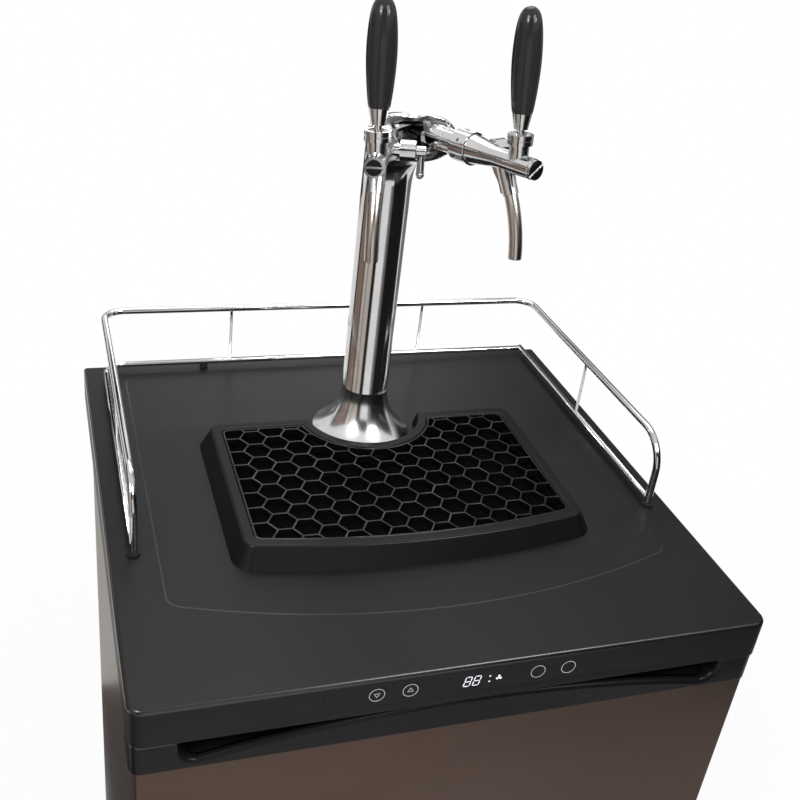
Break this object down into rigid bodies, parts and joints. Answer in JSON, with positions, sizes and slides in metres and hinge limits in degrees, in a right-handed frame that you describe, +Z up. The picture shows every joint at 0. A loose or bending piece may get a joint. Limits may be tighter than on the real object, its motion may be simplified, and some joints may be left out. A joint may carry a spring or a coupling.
{
  "type": "keg fridge with beer taps",
  "caption": "Cabinet keg fridge with a hinged door, casters, railed worktop, drip tray and a chrome tower of beer taps",
  "frame": {"origin": "on the floor under the middle of the worktop", "axes": "+Z up, front with the door towards -Y, +X to the right seen from the front"},
  "size_m": [0.605, 0.582, 1.3929],
  "materials": {
    "black_plastic": "fine grain",
    "chrome": "polished",
    "door_steel": "brushed",
    "dark_paint": "satin",
    "foam": "foam",
    "white_plastic": "gloss",
    "grey_rubber": "matt",
    "black_rubber": "matt",
    "film": "satin",
    "board": "lacquered",
    "handle_black": "satin",
    "zinc": "zinc plated"
  },
  "bodies": {
    "cabinet": {"cabinet_shell": "dark_paint", "insulation_foam": "foam", "inner_liner": "white_plastic", "back_panel": "zinc", "base_plate": "dark_paint", "compressor": "dark_paint", "fan_housing": "white_plastic", "cord_gland": "black_rubber", "hinge_top": "zinc", "hinge_bottom": "zinc", "worktop": "black_plastic", "control_film": "film", "control_board": "board", "rail_upper": "chrome", "rail_lower": "chrome", "rail_feet": "black_rubber", "tower_foot": "chrome", "tower_column": "chrome", "tower_hood": "chrome", "tower_block": "chrome", "tower_nut": "zinc", "drink_pipes": "chrome", "arm_left": "chrome", "arm_right": "chrome", "coupling_nuts": "chrome", "tap_left": "chrome", "tap_right": "chrome", "lever_collars": "chrome", "nose_plugs": "chrome", "spout_left": "chrome", "spout_right": "chrome", "caster_plates": "zinc"},
    "door": {"door_panel": "door_steel", "door_foam": "foam", "door_liner": "white_plastic", "door_gasket": "grey_rubber", "door_trim": "black_plastic"},
    "fan": {"fan_rotor": "black_plastic"},
    "tray": {"drip_tray": "black_plastic"},
    "grate": {"drip_grate": "black_plastic"},
    "lever_left": {"lever_left": "chrome", "handle_left": "handle_black"},
    "valve_left": {"valve_rod_left": "chrome"},
    "flow_left": {"flow_lever_left": "chrome"},
    "lever_right": {"lever_right": "chrome", "handle_right": "handle_black"},
    "valve_right": {"valve_rod_right": "chrome"},
    "flow_right": {"flow_lever_right": "chrome"},
    "button_1": {"button_1": "film"},
    "button_2": {"button_2": "film"},
    "button_3": {"button_3": "film"},
    "button_4": {"button_4": "film"},
    "caster_1": {"caster_fork_1": "zinc"},
    "wheel_1": {"caster_wheel_1": "black_rubber"},
    "caster_2": {"caster_fork_2": "zinc"},
    "wheel_2": {"caster_wheel_2": "black_rubber"},
    "caster_3": {"caster_fork_3": "zinc"},
    "wheel_3": {"caster_wheel_3": "black_rubber"},
    "caster_4": {"caster_fork_4": "zinc"},
    "wheel_4": {"caster_wheel_4": "black_rubber"}
  },
  "joints": [
    {"name": "door_hinge", "type": "hinge", "parent": "cabinet", "child": "door", "pos_m": [0.281, -0.2665, 0.45], "axis": [0, 0, 1], "range_deg": [0, 120]},
    {"name": "fan_spin", "type": "hinge", "parent": "cabinet", "child": "fan", "pos_m": [0, 0.225, 0.707], "axis": [0, 1, 0], "continuous": true},
    {"name": "tray_lift", "type": "slide", "parent": "cabinet", "child": "tray", "axis": [0, 0, 1], "range_m": [0, 0.06]},
    {"name": "grate_lift", "type": "slide", "parent": "tray", "child": "grate", "axis": [0, 0, 1], "range_m": [0, 0.03]},
    {"name": "lever_left_pull", "type": "hinge", "parent": "cabinet", "child": "lever_left", "pos_m": [-0.06683, -0.05498, 1.27415], "axis": [0.9268, -0.3706, 0.0609], "range_deg": [0, 25]},
    {"name": "valve_left_slide", "type": "slide", "parent": "cabinet", "child": "valve_left", "axis": [0.374, 0.9256, -0.0576], "range_m": [0, 0.007]},
    {"name": "flow_left_turn", "type": "hinge", "parent": "cabinet", "child": "flow_left", "pos_m": [-0.04761, -0.00983, 1.25633], "axis": [-0.9268, 0.3706, -0.0609], "range_deg": [0, 90]},
    {"name": "lever_right_pull", "type": "hinge", "parent": "cabinet", "child": "lever_right", "pos_m": [0.06598, -0.05532, 1.27418], "axis": [0.9272, 0.3746, 0], "range_deg": [0, 25]},
    {"name": "valve_right_slide", "type": "slide", "parent": "cabinet", "child": "valve_right", "axis": [-0.374, 0.9256, -0.0576], "range_m": [0, 0.007]},
    {"name": "flow_right_turn", "type": "hinge", "parent": "cabinet", "child": "flow_right", "pos_m": [0.04761, -0.00983, 1.25633], "axis": [-0.9272, -0.3746, 0], "range_deg": [0, 90]},
    {"name": "button_1_press", "type": "slide", "parent": "cabinet", "child": "button_1", "axis": [0, 1, 0], "range_m": [0, 0.0008], "stiffness_N_per_m": 2000},
    {"name": "button_2_press", "type": "slide", "parent": "cabinet", "child": "button_2", "axis": [0, 1, 0], "range_m": [0, 0.0008], "stiffness_N_per_m": 2000},
    {"name": "button_3_press", "type": "slide", "parent": "cabinet", "child": "button_3", "axis": [0, 1, 0], "range_m": [0, 0.0008], "stiffness_N_per_m": 2000},
    {"name": "button_4_press", "type": "slide", "parent": "cabinet", "child": "button_4", "axis": [0, 1, 0], "range_m": [0, 0.0008], "stiffness_N_per_m": 2000},
    {"name": "caster_1_swivel", "type": "hinge", "parent": "cabinet", "child": "caster_1", "pos_m": [-0.25, -0.2, 0.056], "axis": [0, 0, 1], "continuous": true},
    {"name": "wheel_1_roll", "type": "hinge", "parent": "caster_1", "child": "wheel_1", "pos_m": [-0.25, -0.186, 0.023], "axis": [1, 0, 0], "continuous": true},
    {"name": "caster_2_swivel", "type": "hinge", "parent": "cabinet", "child": "caster_2", "pos_m": [0.25, -0.2, 0.056], "axis": [0, 0, 1], "continuous": true},
    {"name": "wheel_2_roll", "type": "hinge", "parent": "caster_2", "child": "wheel_2", "pos_m": [0.25, -0.186, 0.023], "axis": [1, 0, 0], "continuous": true},
    {"name": "caster_3_swivel", "type": "hinge", "parent": "cabinet", "child": "caster_3", "pos_m": [-0.25, 0.232, 0.056], "axis": [0, 0, 1], "continuous": true},
    {"name": "wheel_3_roll", "type": "hinge", "parent": "caster_3", "child": "wheel_3", "pos_m": [-0.25, 0.246, 0.023], "axis": [1, 0, 0], "continuous": true},
    {"name": "caster_4_swivel", "type": "hinge", "parent": "cabinet", "child": "caster_4", "pos_m": [0.25, 0.232, 0.056], "axis": [0, 0, 1], "continuous": true},
    {"name": "wheel_4_roll", "type": "hinge", "parent": "caster_4", "child": "wheel_4", "pos_m": [0.25, 0.246, 0.023], "axis": [1, 0, 0], "continuous": true}
  ],
  "couplings": [
    {"joint": "valve_left_slide", "follows": "lever_left_pull", "m_per_rad": 0.015},
    {"joint": "valve_right_slide", "follows": "lever_right_pull", "m_per_rad": 0.015}
  ]
}
